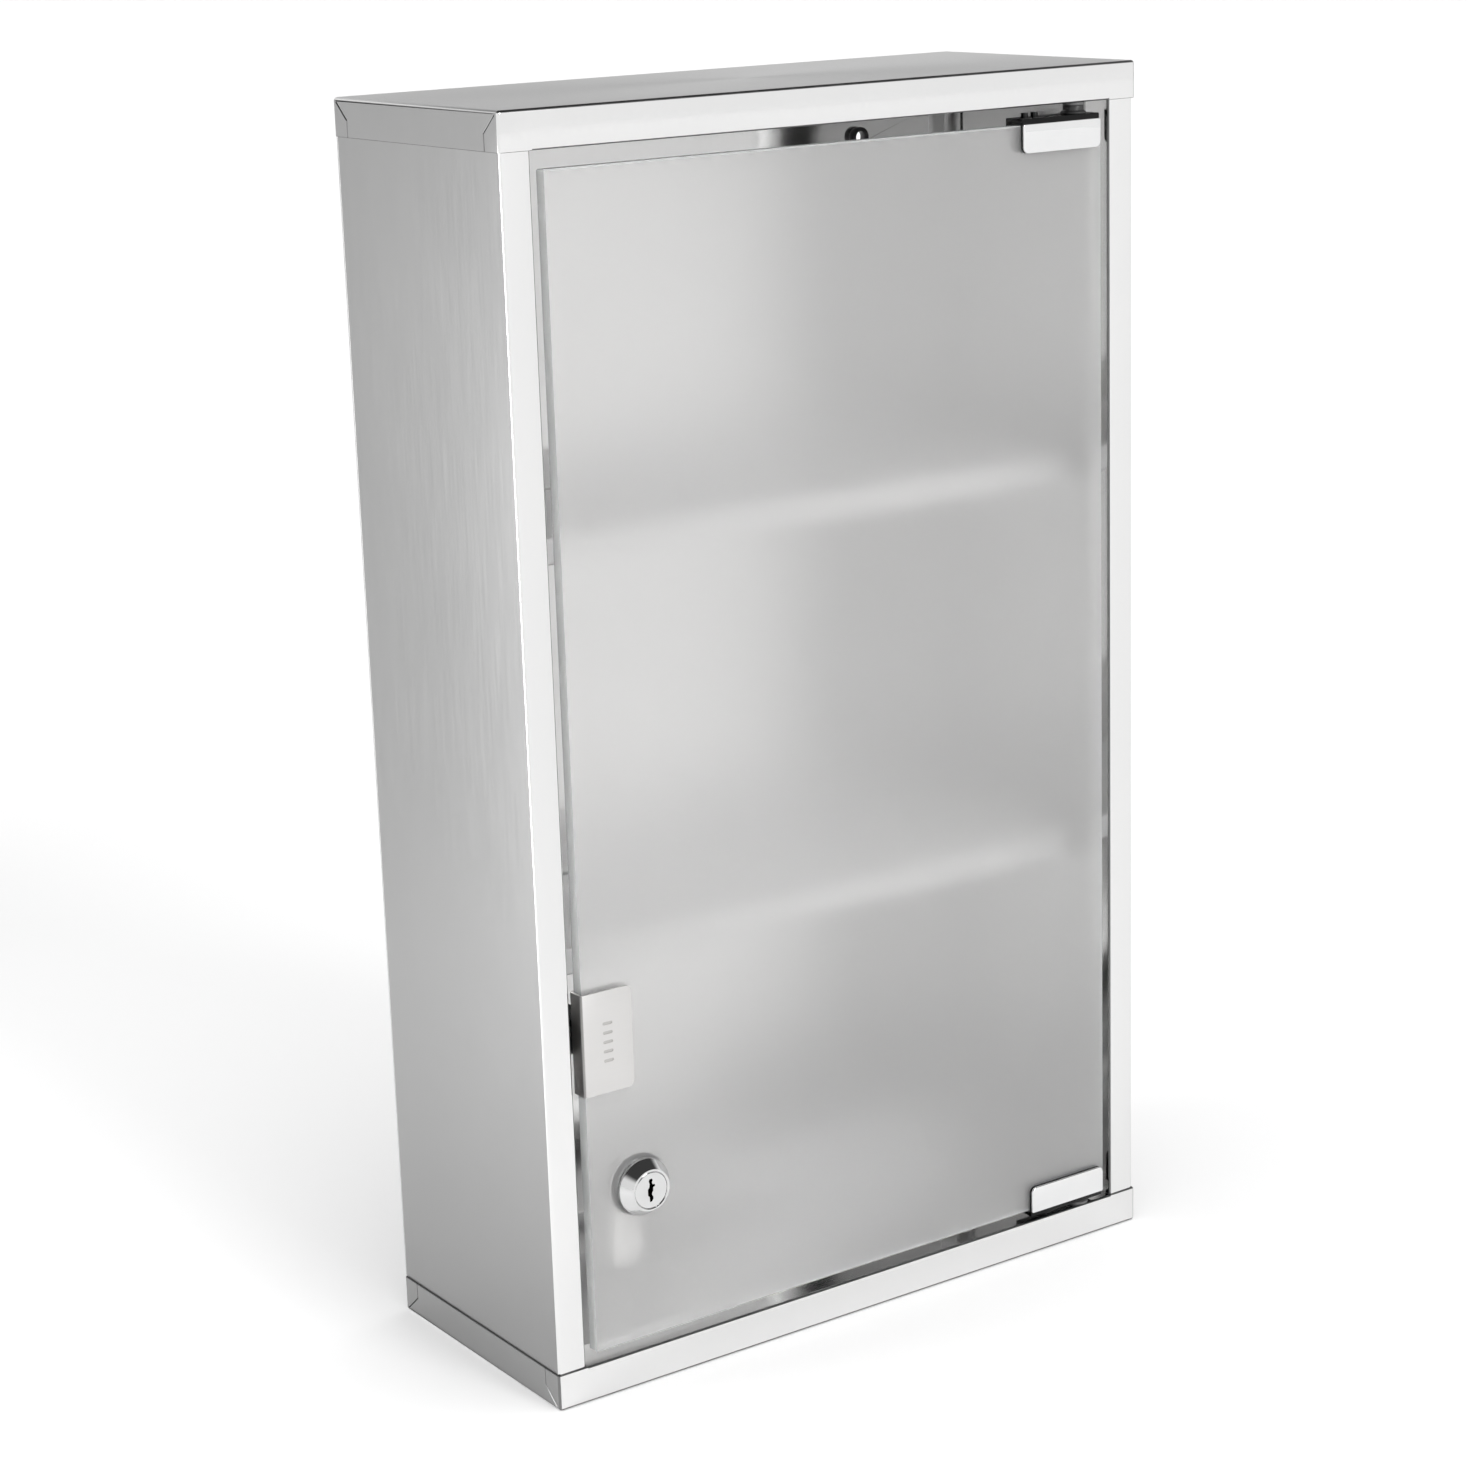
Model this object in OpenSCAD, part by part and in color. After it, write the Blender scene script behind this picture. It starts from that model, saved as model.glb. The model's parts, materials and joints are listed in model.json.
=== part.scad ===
// Lockable wall cabinet in folded stainless sheet, with an inset frosted-glass
// door on pivot hinges, a cam lock and a push-to-open latch.
// Frame: the wall plane is y = 0 and the front looks along -Y, +Z is up, and the
// origin is the middle of the back. Everything is in millimetres.

/* [Cabinet] */
// Outside width
cab_w = 300; // [280:1:340]
// Outside height
cab_h = 504; // [480:1:560]
// Outside depth, wall to front
cab_d = 122; // [116:1:140]
// Thickness of the folded sheet
sheet = 0.8; // [0.6:0.1:1]
// Height of the rails, which are the flanges of the two caps
rail_h = 15; // [14:0.5:18]
// Width of the front stiles, measured from the outside
stile_w = 13.5; // [12:0.5:16]
// Depth of the fold behind each stile
stile_fold = 14; // [10:0.5:16]
// Depth of the lip that is folded back from each rail
rail_lip = 18; // [14:0.5:22]

/* [Shelves] */
// Height of each shelf above and below the middle of the cabinet
shelf_z = 82.5; // [70:0.5:95]
// Distance of the shelves behind the front
shelf_setback = 35; // [32:1:50]
// Height of the folded shelf edge
shelf_edge = 11; // [10:0.5:14]

/* [Wall holes] */
// Spacing of the wall holes across
hole_span_x = 200; // [160:5:240]
// Spacing of the wall holes up and down
hole_span_z = 438; // [400:2:440]
// Clear diameter through each grommet
hole_d = 5; // [4.5:0.1:5.5]

/* [Door] */
// Glass thickness
glass_t = 5; // [4:0.5:6]
// Gap between the glass and each stile
side_gap = 4.5; // [4:0.25:6]
// Gap between the glass and the top rail
top_gap = 7; // [6.5:0.25:8]
// Gap between the glass and the bottom rail
bottom_gap = 5; // [4.75:0.25:6]

/* [Hinges] */
// Length of each hinge clamp
clamp_w = 40; // [36:1:48]
// Height of each hinge clamp over the glass
clamp_h = 11; // [9:0.5:14]
// Distance of the pivot from the cabinet's side
pivot_inset = 29; // [27:0.5:32]
// Distance of the pivot behind the front
pivot_depth = 4.5; // [4.3:0.1:5]
// Diameter of the pivot pins
pin_d = 4; // [3:0.5:4]

/* [Push plate] */
// Width of the push plate
push_w = 23; // [20:0.5:28]
// Height of the push plate
push_h = 41.5; // [34:0.5:50]
// Height of its middle, from the middle of the cabinet
push_z = -103.5; // [-106:0.5:-100]

/* [Lock] */
// Distance of the lock from the cabinet's side
lock_inset = 42.5; // [41:0.5:48]
// Height of the lock, from the middle of the cabinet
lock_z = -167.5; // [-180:0.5:-164]
// Diameter of the lock's rim
rim_d = 23.4; // [21:0.2:24]
// Diameter of the lock's front face
face_d = 17.6; // [17:0.2:19]
// Diameter of the turning plug
plug_d = 15; // [14:0.2:15]
// Reach of the cam from the lock's centre
cam_reach = 39; // [34:0.5:39]

/* [Hidden] */
$fn = 64;

half_w = cab_w / 2;
half_h = cab_h / 2;
front_y = -cab_d;
rail_z = half_h - rail_h;          // free edge of the top rail
cut = 1;                           // how far a cutter runs past a face

// Sheet parts
wall_x = half_w - sheet;           // outside of a side panel
inside_x = wall_x - sheet;         // inside of a side panel
stile_x = half_w - stile_w;        // opening edge of a stile
panel_h = cab_h - 2 * sheet - 0.4; // height of a side panel inside the caps
lip_x = stile_x - 0.3;             // end of a rail lip
ear_w = 10;                        // how far a rail wraps round onto the side
ear_rise = 6.5;                    // straight part of the ear's free edge
slit = 0.4;                        // gap along the ear
jog_h = 5;                         // overlap where the back steps in behind a cap
back_fold = 12;                    // depth of the back panel's side folds
weld_gap = 0.4;                    // gap between the back and a cap

// Shelves and their supports
shelf_x = inside_x - 1.2;
shelf_front = front_y + shelf_setback;
shelf_back = -2 * sheet - 0.4;
support_w = 16;
support_t = 1;
support_leg = 10;
support_ys = [-54, -24];           // middles of the supports

// Wall holes
grommet_hole_d = 7;
grommet_d = 8.4;
grommet_lip = 3.2;

// Door glass
glass_x = stile_x - side_gap;
glass_top = rail_z - top_gap;
glass_bottom = rail_z - bottom_gap; // measured downwards
glass_back = front_y + glass_t;

// Hinges
pivot_x = half_w - pivot_inset;
pivot_y = front_y + pivot_depth;
clamp_right = pivot_x + 9;
clamp_left = clamp_right - clamp_w;
cover_t = 1;
leg_t = 0.6;
gasket_t = 0.4;
edge_gasket = 0.5;
bridge_t = 2;
back_leg_t = 4;
clamp_front = front_y - gasket_t - leg_t;
clamp_back = glass_back + gasket_t + back_leg_t;
bush_d = 6.4;
bush_flange_d = 8.6;
bush_flange = 1;
pivot_play = 0.05;
screw_inset = [8, 13];             // places of the set screws along a clamp
screw_d = 3;

// Push plate
push_left = -glass_x - 1.2;
push_sheet = 1;
push_pad = 1;
push_back = glass_back + 0.5;

// Lock
lock_x = -(half_w - lock_inset);
rim_h = 1.5;
lock_proud = 6.6;
lock_gasket_t = 0.5;
lock_face_y = front_y - lock_proud;
barrel_d = 18.8;
barrel_end = glass_back + 10;
glass_hole_d = 19.6;
plug_play = 0.06;
washer_t = 1;
nut_t = 4.5;
nut_across = 24;
drive = 7;
drive_end = barrel_end + 2.7;
cam_t = 2;
cam_w = 15;
cam_y = barrel_end + 0.5;
cam_screw_d = 4;
wafer_t = 0.8;
wafer_pitch = 2.4;
wafer_count = 5;

// Latch
latch_x = -127;
latch_z = push_z - 1.5;
latch_w = 18;
latch_h = 15;
latch_front = front_y + 16;
latch_back = latch_front + 42;
plunger_d = 8;
plunger_play = 0.06;
head_d = 12;
head_l = 5;
head_front = push_back + push_sheet + 0.1;
plunger_end = latch_front + 28;
bore_end = latch_back - 4;
magnet_d = 9;
magnet_t = 4;
latch_screw_x = latch_x - 6.5;
latch_screw_ys = [latch_front + 10, latch_front + 32];
latch_screw_d = 3;
spring_wire = 0.7;
spring_turns = 5;

// A block between two opposite corners
module block(low, high) {
    translate(low) cube(high - low);
}

// A cylinder along Y from y0 to y1, centred on x and z
module rod_y(x, z, y0, y1, d) {
    translate([x, y1, z]) rotate([90, 0, 0]) cylinder(d = d, h = y1 - y0);
}

// A cylinder along Z from z0 to z1, centred on x and y
module rod_z(x, y, z0, z1, d) {
    translate([x, y, z0]) cylinder(d = d, h = z1 - z0);
}

// An outline drawn in X and Z, given thickness from y0 to y1
module slab_y(y0, y1) {
    translate([0, y1, 0]) rotate([90, 0, 0]) linear_extrude(y1 - y0) children();
}

// Narrow slit between an ear and the side flange, in the plane of the side
module ear_slit(side) {
    ear_y = front_y + ear_w;
    knee_z = rail_z + ear_rise;
    tip = [front_y + 2, half_h - 1.6];
    translate([side * half_w - 2 * sheet, 0, 0]) rotate([90, 0, 90])
        linear_extrude(4 * sheet)
            polygon([[ear_y, rail_z - cut], [ear_y, knee_z], tip,
                     [tip[0] + slit, tip[1] + slit / 2],
                     [ear_y + slit, knee_z + slit / 2], [ear_y + slit, rail_z - cut]]);
}

// Cap: a folded tray with a lip behind its front flange, drawn for the top
module cap() {
    difference() {
        union() {
            difference() {
                block([-half_w, front_y, rail_z], [half_w, 0, half_h]);
                block([-wall_x, front_y + sheet, rail_z - cut], [wall_x, -sheet, half_h - sheet]);
            }
            block([-lip_x, front_y + sheet / 2, rail_z],
                  [lip_x, front_y + rail_lip, rail_z + sheet]);
        }
        for (side = [-1, 1]) {
            ear_slit(side);
            translate([0, -cab_d, 0]) mirror([0, 1, 0]) ear_slit(side);
        }
        rod_z(pivot_x, pivot_y, rail_z - cut, rail_z + sheet + cut, bush_d + 0.1);
    }
}

module top_cap() {
    color("gainsboro") cap();
}

module bottom_cap() {
    color("gainsboro") mirror([0, 0, 1]) cap();
}

// Side panel with its front stile and the fold behind it, drawn for the right
module side_panel() {
    stile_face = front_y + sheet;
    translate([0, 0, -panel_h / 2]) linear_extrude(panel_h) union() {
        translate([inside_x, stile_face]) square([sheet, cab_d - 2 * sheet]);
        translate([stile_x, stile_face]) square([wall_x - stile_x, sheet]);
        translate([stile_x, stile_face]) square([sheet, stile_fold]);
    }
}

module right_side_panel() {
    color("lightgray") side_panel();
}

module left_side_panel() {
    color("lightgray") mirror([1, 0, 0]) side_panel();
}

module back_panel() {
    visible_z = rail_z - weld_gap;
    tab_x = inside_x;
    color("lightgray") difference() {
        union() {
            block([-wall_x, -sheet, -visible_z], [wall_x, 0, visible_z]);
            for (end = [0, 1]) mirror([0, 0, end])
                block([-tab_x, -2 * sheet, visible_z - jog_h],
                      [tab_x, -sheet, panel_h / 2]);
            for (side = [0, 1]) mirror([side, 0, 0])
                block([tab_x - sheet, -back_fold, -visible_z + jog_h],
                      [tab_x, -sheet, visible_z - jog_h]);
        }
        wall_holes(grommet_hole_d, -3 * sheet, cut);
    }
}

// One rod at each wall hole, to cut the holes or build the grommets
module wall_holes(d, y0, y1) {
    for (x = [-1, 1], z = [-1, 1])
        rod_y(x * hole_span_x / 2, z * hole_span_z / 2, y0, y1, d);
}

module hole_grommets() {
    color("black") difference() {
        union() {
            wall_holes(grommet_hole_d, -sheet - grommet_lip, 0);
            wall_holes(grommet_d, -sheet - grommet_lip, -sheet);
        }
        wall_holes(hole_d, -3 * sheet - grommet_lip, cut);
    }
}

// Shelf: a tray turned upside down, with a hem inside its front edge
module shelf(middle_z) {
    bottom_z = middle_z - shelf_edge / 2;
    top_z = bottom_z + shelf_edge;
    difference() {
        block([-shelf_x, shelf_front, bottom_z], [shelf_x, shelf_back, top_z]);
        block([-shelf_x + sheet, shelf_front + sheet, bottom_z - cut],
              [shelf_x - sheet, shelf_back - sheet, top_z - sheet]);
    }
    block([-shelf_x + sheet, shelf_front + sheet / 2, bottom_z],
          [shelf_x - sheet, shelf_front + 7, bottom_z + sheet]);
}

module upper_shelf() {
    color("whitesmoke") shelf(shelf_z);
}

module lower_shelf() {
    color("whitesmoke") shelf(-shelf_z);
}

// Angle brackets that are spot-welded to the sides under each shelf
module shelf_supports() {
    color("silver") for (side = [0, 1], middle_z = [-shelf_z, shelf_z], y = support_ys)
        mirror([side, 0, 0]) {
            rest_z = middle_z - shelf_edge / 2;
            block([inside_x - support_t, y - support_w / 2, rest_z - support_leg],
                  [inside_x, y + support_w / 2, rest_z]);
            block([inside_x - support_leg, y - support_w / 2, rest_z - support_t],
                  [inside_x, y + support_w / 2, rest_z]);
        }
}

// Nylon bush in a rail lip, with its flange towards the door, drawn for the top
module pivot_bush() {
    difference() {
        union() {
            rod_z(pivot_x, pivot_y, rail_z - bush_flange, rail_z + 7, bush_d);
            rod_z(pivot_x, pivot_y, rail_z - bush_flange, rail_z, bush_flange_d);
        }
        rod_z(pivot_x, pivot_y, rail_z - bush_flange - cut, rail_z + 6,
              pin_d + 2 * pivot_play);
    }
}

module top_pivot_bush() {
    color("dimgray") pivot_bush();
}

module bottom_pivot_bush() {
    color("dimgray") mirror([0, 0, 1]) pivot_bush();
}

// Angle bracket that carries the latch, spot-welded to the left side
module latch_bracket() {
    seat_z = latch_z - latch_h / 2;
    thick = 1;
    color("silver") difference() {
        union() {
            block([-inside_x, latch_front + 2, seat_z - 20],
                  [-inside_x + thick, latch_back - 2, seat_z + latch_h]);
            block([-inside_x, latch_front + 2, seat_z - thick],
                  [latch_x + latch_w / 2, latch_back - 2, seat_z]);
        }
        for (y = latch_screw_ys)
            rod_z(latch_screw_x, y, seat_z - 2 * thick, seat_z + cut, latch_screw_d + 0.2);
    }
}

module latch_housing() {
    color("black") difference() {
        block([latch_x - latch_w / 2, latch_front, latch_z - latch_h / 2],
              [latch_x + latch_w / 2, latch_back, latch_z + latch_h / 2]);
        rod_y(latch_x, latch_z, latch_front - cut, bore_end, plunger_d);
        for (y = latch_screw_ys)
            rod_z(latch_screw_x, y, latch_z - latch_h, latch_z - 1, latch_screw_d - 0.4);
    }
}

module latch_screws() {
    seat_z = latch_z - latch_h / 2;
    color("darkgray") for (y = latch_screw_ys) {
        rod_z(latch_screw_x, y, seat_z - 1, latch_z - 2, latch_screw_d - 0.4);
        difference() {
            rod_z(latch_screw_x, y, seat_z - 3, seat_z - 1, 5.6);
            translate([latch_screw_x, y, seat_z - 2.6]) cube([4, 0.8, 1], center = true);
            translate([latch_screw_x, y, seat_z - 2.6]) cube([0.8, 4, 1], center = true);
        }
    }
}

// A coil of round wire about the Z axis, starting at z = 0
module coil(radius, wire_r, length, turns) {
    sides = 8;
    steps = 14;
    rings = turns * steps;
    points = [for (i = [0 : rings], k = [0 : sides - 1])
        let (turn = 360 * i / steps, side = 360 * k / sides,
             out = radius + wire_r * cos(side))
            [out * cos(turn), out * sin(turn), length * i / rings + wire_r * sin(side)]];
    walls = [for (i = [0 : rings - 1], k = [0 : sides - 1])
        let (a = i * sides + k, b = i * sides + (k + 1) % sides)
            [a, a + sides, b + sides, b]];
    start = [for (k = [0 : sides - 1]) k];
    end = [for (k = [sides - 1 : -1 : 0]) rings * sides + k];
    polyhedron(points, concat([start], walls, [end]));
}

// Return spring of the plunger, in the closed end of the housing
module latch_spring() {
    wire_r = spring_wire / 2;
    length = bore_end - plunger_end - 2 * wire_r;
    color("silver")
        translate([latch_x, bore_end - wire_r, latch_z]) rotate([90, 0, 0])
            coil(plunger_d / 2 - 0.9, wire_r, length, spring_turns);
}

module latch_plunger() {
    color("black") difference() {
        union() {
            rod_y(latch_x, latch_z, head_front, head_front + head_l, head_d);
            rod_y(latch_x, latch_z, head_front + head_l - 0.5, plunger_end,
                  plunger_d - 2 * plunger_play);
        }
        rod_y(latch_x, latch_z, head_front - cut, head_front + magnet_t, magnet_d);
    }
}

module latch_magnet() {
    color("slategray") rod_y(latch_x, latch_z, head_front, head_front + magnet_t, magnet_d);
}

module glass_door() {
    color("lightgray", 0.6) difference() {
        block([-glass_x, front_y, -glass_bottom], [glass_x, glass_back, glass_top]);
        rod_y(lock_x, lock_z, front_y - cut, glass_back + cut, glass_hole_d);
    }
}

// Outline of a clamp face in X and Z, rounded at the two corners away from the rail
module clamp_face(edge_z) {
    corner = 2.5;
    low = edge_z - clamp_h;
    union() {
        translate([clamp_left, low + corner]) square([clamp_w, clamp_h - corner + edge_gasket]);
        translate([clamp_left + corner, low]) square([clamp_w - 2 * corner, clamp_h]);
        for (x = [clamp_left + corner, clamp_right - corner])
            translate([x, low + corner]) circle(r = corner);
    }
}

// Clamp that grips the edge of the glass at z = edge_z, drawn for the top
module hinge_clamp(edge_z) {
    bridge_z = edge_z + edge_gasket;
    screw_y = clamp_back - back_leg_t / 2;
    difference() {
        union() {
            slab_y(clamp_front, clamp_front + leg_t) clamp_face(edge_z);
            slab_y(clamp_back - back_leg_t, clamp_back) clamp_face(edge_z);
            block([clamp_left, clamp_front, bridge_z],
                  [clamp_right, clamp_back, bridge_z + bridge_t]);
        }
        rod_z(pivot_x, pivot_y, bridge_z - cut, bridge_z + bridge_t + cut, pin_d);
        for (inset = screw_inset)
            rod_z(clamp_left + inset, screw_y, bridge_z - 5, bridge_z + bridge_t + cut, screw_d);
    }
}

module top_hinge_clamp() {
    color("dimgray") hinge_clamp(glass_top);
}

module bottom_hinge_clamp() {
    color("dimgray") mirror([0, 0, 1]) hinge_clamp(glass_bottom);
}

module hinge_cover(edge_z) {
    slab_y(clamp_front - cover_t, clamp_front) clamp_face(edge_z);
}

module top_hinge_cover() {
    color("white") hinge_cover(glass_top);
}

module bottom_hinge_cover() {
    color("white") mirror([0, 0, 1]) hinge_cover(glass_bottom);
}

// Folded rubber strip between a clamp and the glass
module hinge_gasket(edge_z) {
    for (y = [front_y - gasket_t, glass_back])
        slab_y(y, y + gasket_t) clamp_face(edge_z);
    block([clamp_left, front_y - gasket_t, edge_z],
          [clamp_right, glass_back + gasket_t, edge_z + edge_gasket]);
}

module top_hinge_gasket() {
    color("black") hinge_gasket(glass_top);
}

module bottom_hinge_gasket() {
    color("black") mirror([0, 0, 1]) hinge_gasket(glass_bottom);
}

// Two socket set screws in one clamp
module set_screws(edge_z) {
    top_z = edge_z + edge_gasket + bridge_t + 1.6;
    screw_y = clamp_back - back_leg_t / 2;
    for (inset = screw_inset) difference() {
        rod_z(clamp_left + inset, screw_y, edge_z + edge_gasket - 5, top_z, screw_d);
        translate([clamp_left + inset, screw_y, top_z - 1]) cylinder(d = 1.7, h = 2, $fn = 6);
    }
}

module hinge_set_screws() {
    color("black") {
        set_screws(glass_top);
        mirror([0, 0, 1]) set_screws(glass_bottom);
    }
}

module pivot_pin(edge_z) {
    rod_z(pivot_x, pivot_y, edge_z + edge_gasket, rail_z + 4.5, pin_d);
}

module top_pivot_pin() {
    color("silver") pivot_pin(glass_top);
}

module bottom_pivot_pin() {
    color("silver") mirror([0, 0, 1]) pivot_pin(glass_bottom);
}

// Stepped nylon spacer that rides on the pin between clamp and bush
module pivot_spacer(edge_z) {
    low = edge_z + edge_gasket + bridge_t;
    high = rail_z - bush_flange - 0.1;
    foot = (high - low) * 0.4;
    rise = high - low;
    color("black") translate([pivot_x, pivot_y, low])
        rotate_extrude() polygon([[pin_d / 2, 0], [5.2, 0], [5.2, foot * 0.6],
                                  [4.2, foot], [4.2, rise], [pin_d / 2, rise]]);
}

module top_pivot_spacer() {
    pivot_spacer(glass_top);
}

module bottom_pivot_spacer() {
    mirror([0, 0, 1]) pivot_spacer(glass_bottom);
}

// Outline of the push plate in X and Z, rounded on the side away from the stile
module push_outline() {
    corner = 2.5;
    low = push_z - push_h / 2;
    translate([push_left, low]) square([push_w - corner, push_h]);
    translate([push_left, low + corner]) square([push_w, push_h - 2 * corner]);
    for (z = [low + corner, low + push_h - corner])
        translate([push_left + push_w - corner, z]) circle(r = corner);
}

// Sheet clip round the free edge of the glass; its back leg is the latch strike
module push_plate() {
    front = front_y - push_pad;
    low = push_z - push_h / 2;
    rib_w = 4.4;
    rib_h = 1.2;
    rib_x = push_left + (push_w - rib_w) / 2;
    color("silver") difference() {
        union() {
            slab_y(front - push_sheet, front) push_outline();
            slab_y(push_back, push_back + push_sheet) push_outline();
            block([push_left, front - push_sheet, low],
                  [push_left + push_sheet, push_back + push_sheet, low + push_h]);
        }
        for (i = [-2 : 2])
            block([rib_x, front - push_sheet - cut, push_z + 3.8 * i - rib_h / 2],
                  [rib_x + rib_w, front - push_sheet + 0.25, push_z + 3.8 * i + rib_h / 2]);
    }
}

// Adhesive pads that hold the clip on both faces of the glass
module push_plate_pad() {
    low = push_z - push_h / 2 + 2;
    left = -glass_x + 0.5;
    right = push_left + push_w - 2;
    color("dimgray") {
        block([left, front_y - push_pad, low], [right, front_y, low + push_h - 4]);
        block([left, glass_back, low], [right, push_back, low + push_h - 4]);
    }
}

// Turned lock body: rim, conical shoulder, flat face and threaded barrel
module lock_housing() {
    rim_y = front_y - lock_gasket_t;
    bore_r = plug_d / 2 + plug_play;
    color("silver") translate([lock_x, 0, lock_z]) rotate([90, 0, 0]) mirror([0, 0, 1])
        rotate_extrude()
            polygon([[bore_r, lock_face_y], [face_d / 2, lock_face_y],
                     [rim_d / 2, rim_y - rim_h], [rim_d / 2, rim_y],
                     [barrel_d / 2, rim_y], [barrel_d / 2, barrel_end],
                     [bore_r, barrel_end]]);
}

// Flat ring round the lock, between y0 and y1
module lock_ring(y0, y1, outer_d, inner_d) {
    difference() {
        rod_y(lock_x, lock_z, y0, y1, outer_d);
        rod_y(lock_x, lock_z, y0 - cut, y1 + cut, inner_d);
    }
}

module lock_gasket() {
    color("black") lock_ring(front_y - lock_gasket_t, front_y, rim_d - 0.8, barrel_d + 0.1);
}

module lock_washer() {
    color("silver") lock_ring(glass_back, glass_back + washer_t, 26, barrel_d + 0.2);
}

module lock_nut() {
    low = glass_back + washer_t;
    color("silver") difference() {
        translate([lock_x, low + nut_t, lock_z]) rotate([90, 0, 0])
            cylinder(d = nut_across / cos(30), h = nut_t, $fn = 6);
        rod_y(lock_x, lock_z, low - cut, low + nut_t + cut, barrel_d);
    }
}

// Places of the wafers along the plug
function wafer_y(i) = lock_face_y + 6 + i * wafer_pitch;

// Keyway outline: an upright slot with one side ward
module keyway() {
    translate([lock_x - 0.8, lock_z - 4.3]) square([1.6, 8.6]);
    translate([lock_x - 0.2, lock_z + 1]) square([2, 1.5]);
    translate([lock_x - 1.8, lock_z - 2.3]) square([2, 1.5]);
}

module lock_plug() {
    color("silver") difference() {
        union() {
            rod_y(lock_x, lock_z, lock_face_y, barrel_end, plug_d);
            block([lock_x - drive / 2, barrel_end, lock_z - drive / 2],
                  [lock_x + drive / 2, drive_end, lock_z + drive / 2]);
        }
        slab_y(lock_face_y - cut, wafer_y(wafer_count)) keyway();
        for (i = [0 : wafer_count - 1])
            block([lock_x - 2.6, wafer_y(i), lock_z - plug_d], [lock_x + 2.6,
                  wafer_y(i) + wafer_t, lock_z + plug_d]);
        rod_y(lock_x, lock_z, wafer_y(wafer_count) + 1, drive_end + cut, cam_screw_d);
    }
}

// Brass wafers that the key lifts, one in each slot of the plug
module lock_wafers() {
    color("goldenrod") for (i = [0 : wafer_count - 1]) difference() {
        block([lock_x - 2.6, wafer_y(i), lock_z - 6.6],
              [lock_x + 2.6, wafer_y(i) + wafer_t, lock_z + 6.6]);
        block([lock_x - 1.8, wafer_y(i) - cut, lock_z - 4.3],
              [lock_x + 1.8, wafer_y(i) + wafer_t + cut, lock_z + 4.3]);
    }
}

// Cam: hangs down while the door is unlocked
module lock_cam() {
    tip_z = lock_z - cam_reach + cam_w / 2;
    color("silver") difference() {
        slab_y(cam_y, cam_y + cam_t) union() {
            translate([lock_x, lock_z]) circle(d = cam_w);
            translate([lock_x - cam_w / 2, tip_z]) square([cam_w, lock_z - tip_z]);
            translate([lock_x, tip_z]) circle(d = cam_w);
        }
        block([lock_x - drive / 2, cam_y - cut, lock_z - drive / 2],
              [lock_x + drive / 2, cam_y + cam_t + cut, lock_z + drive / 2]);
    }
}

module cam_screw() {
    head_y = max(drive_end, cam_y + cam_t);
    color("darkgray") {
        rod_y(lock_x, lock_z, wafer_y(wafer_count) + 2, head_y, cam_screw_d);
        difference() {
            rod_y(lock_x, lock_z, head_y, head_y + 2, 9.6);
            translate([lock_x, head_y + 2, lock_z]) cube([5, 1.6, 1], center = true);
            translate([lock_x, head_y + 2, lock_z]) cube([1, 1.6, 5], center = true);
        }
    }
}

top_cap();
bottom_cap();
left_side_panel();
right_side_panel();
back_panel();
upper_shelf();
lower_shelf();
shelf_supports();
hole_grommets();
top_pivot_bush();
bottom_pivot_bush();
latch_bracket();
latch_housing();
latch_screws();
latch_spring();
glass_door();
top_hinge_clamp();
bottom_hinge_clamp();
top_hinge_cover();
bottom_hinge_cover();
top_hinge_gasket();
bottom_hinge_gasket();
hinge_set_screws();
top_pivot_pin();
bottom_pivot_pin();
top_pivot_spacer();
bottom_pivot_spacer();
push_plate();
push_plate_pad();
lock_housing();
lock_gasket();
lock_washer();
lock_nut();
lock_plug();
lock_wafers();
lock_cam();
cam_screw();
latch_plunger();
latch_magnet();
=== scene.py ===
"""Looks of a lockable wall cabinet in folded stainless sheet with an inset frosted-glass door.

Everything is in metres, in the frame of the CAD model: the wall plane is y = 0, the front looks
along -Y, +Z is up and the origin is the middle of the back."""

import json
import math

import bmesh
import bpy
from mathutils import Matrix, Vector


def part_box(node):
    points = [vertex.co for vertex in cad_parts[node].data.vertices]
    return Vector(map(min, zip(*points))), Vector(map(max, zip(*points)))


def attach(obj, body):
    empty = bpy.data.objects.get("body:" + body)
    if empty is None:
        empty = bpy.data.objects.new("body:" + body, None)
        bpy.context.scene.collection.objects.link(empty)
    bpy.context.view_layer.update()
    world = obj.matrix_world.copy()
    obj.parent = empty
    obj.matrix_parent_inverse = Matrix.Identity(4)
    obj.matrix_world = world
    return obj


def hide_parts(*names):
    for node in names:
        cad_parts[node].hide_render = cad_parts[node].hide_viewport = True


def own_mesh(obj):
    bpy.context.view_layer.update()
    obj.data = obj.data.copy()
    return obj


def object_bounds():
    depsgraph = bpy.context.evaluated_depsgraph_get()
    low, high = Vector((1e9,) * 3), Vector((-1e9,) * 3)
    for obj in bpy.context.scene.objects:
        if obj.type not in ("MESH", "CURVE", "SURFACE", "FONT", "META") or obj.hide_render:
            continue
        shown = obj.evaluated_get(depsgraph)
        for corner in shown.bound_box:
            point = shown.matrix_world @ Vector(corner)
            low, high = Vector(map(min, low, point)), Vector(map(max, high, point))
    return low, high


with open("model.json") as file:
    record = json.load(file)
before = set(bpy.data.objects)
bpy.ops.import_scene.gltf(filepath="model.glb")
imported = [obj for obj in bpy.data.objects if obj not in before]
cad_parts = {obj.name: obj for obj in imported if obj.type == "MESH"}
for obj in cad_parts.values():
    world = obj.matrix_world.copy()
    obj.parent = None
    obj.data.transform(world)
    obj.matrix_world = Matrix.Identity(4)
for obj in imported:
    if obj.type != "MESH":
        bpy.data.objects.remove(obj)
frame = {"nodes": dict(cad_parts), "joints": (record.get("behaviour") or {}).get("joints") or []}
cad_low, cad_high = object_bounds()

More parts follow.
